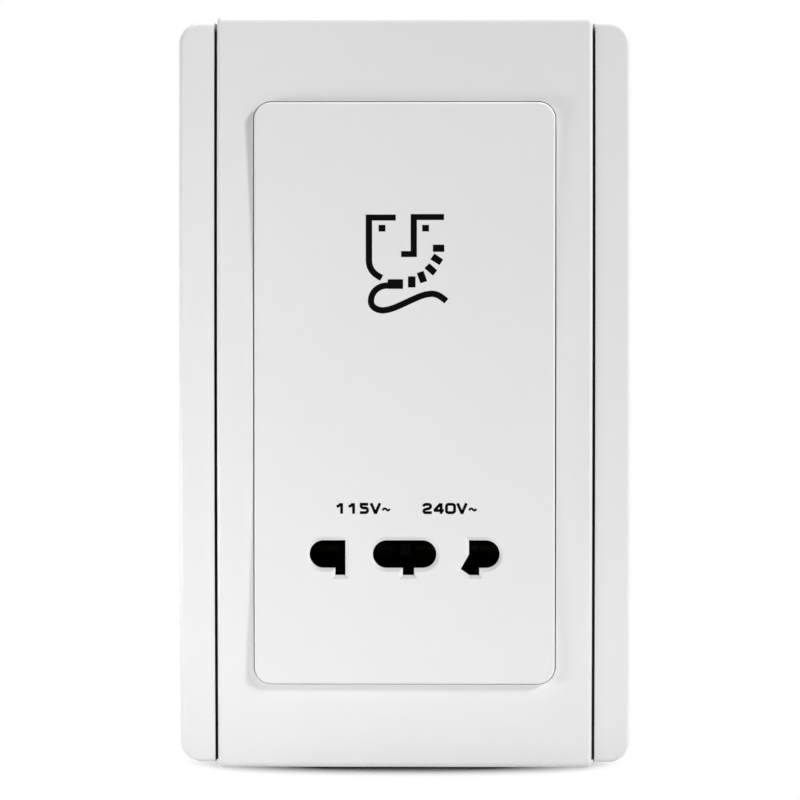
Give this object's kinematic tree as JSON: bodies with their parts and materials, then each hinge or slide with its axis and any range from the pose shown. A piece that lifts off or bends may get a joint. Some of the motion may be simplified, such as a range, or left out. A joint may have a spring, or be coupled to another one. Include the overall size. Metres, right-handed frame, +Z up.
{
  "type": "shaver socket",
  "caption": "White twin-height shaver socket: bowed clip-on cover between side wings, flat fascia with bevelled pin openings, isolating transformer in a deep rear housing.",
  "frame": {"origin": "midway between the two fixing screw holes, on the wall plane", "axes": "+Z up along the tall side, +X to the right seen from the front, +Y into the wall"},
  "size_m": [0.0882, 0.0471, 0.1468],
  "materials": {
    "white_plastic": "smooth gloss, urea-like white",
    "black_plastic": "fine moulded matt",
    "housing_plastic": "fine spark-eroded texture",
    "bobbin_plastic": "glass-filled nylon",
    "contact_brass": "rolled strip",
    "terminal_brass": "machined bar",
    "core_steel": "stacked laminations, varnished",
    "screw_steel": "zinc plated",
    "spring_steel": "drawn wire",
    "winding_copper": "enamelled copper under clear tape",
    "cutout_body": "ceramic-filled case",
    "lead_brown": "flexible insulation",
    "lead_blue": "flexible insulation",
    "lead_green": "flexible insulation",
    "lead_white": "flexible insulation",
    "lead_red": "flexible insulation"
  },
  "bodies": {
    "outlet": {"cover_plate": "white_plastic", "mounting_frame": "white_plastic", "socket_fascia": "white_plastic", "rear_housing": "housing_plastic", "contact_block": "black_plastic", "contact_block_cover": "black_plastic", "switch_cap": "black_plastic", "terminal_block": "black_plastic", "contact_115": "contact_brass", "contact_common": "contact_brass", "contact_240": "contact_brass", "fixed_contact_in": "contact_brass", "fixed_contact_out": "contact_brass", "slider_spring": "spring_steel", "transformer_bobbin": "bobbin_plastic", "primary_winding": "winding_copper", "secondary_winding": "winding_copper", "core_e_stack": "core_steel", "core_i_stack": "core_steel", "bobbin_pins": "screw_steel", "thermal_cutout": "cutout_body", "transformer_washers": "screw_steel", "earth_tag": "terminal_brass", "transformer_screws": "screw_steel", "housing_screws": "screw_steel", "block_screws": "screw_steel", "terminal_live": "terminal_brass", "terminal_earth": "terminal_brass", "terminal_neutral": "terminal_brass", "terminal_screws": "screw_steel", "lead_live": "lead_brown", "lead_switched": "lead_brown", "lead_neutral": "lead_blue", "lead_earth": "lead_green", "lead_115": "lead_white", "lead_240": "lead_red", "lead_common": "lead_blue"},
    "switch": {"switch_slider": "black_plastic", "bridge_contact": "contact_brass"}
  },
  "joints": [
    {"name": "switch_slide", "type": "slide", "parent": "outlet", "child": "switch", "axis": [0, 1, 0], "range_m": [0, 0.0025], "stiffness_N_per_m": 300, "springref_m": -0.002, "deforming": ["slider_spring"]}
  ]
}
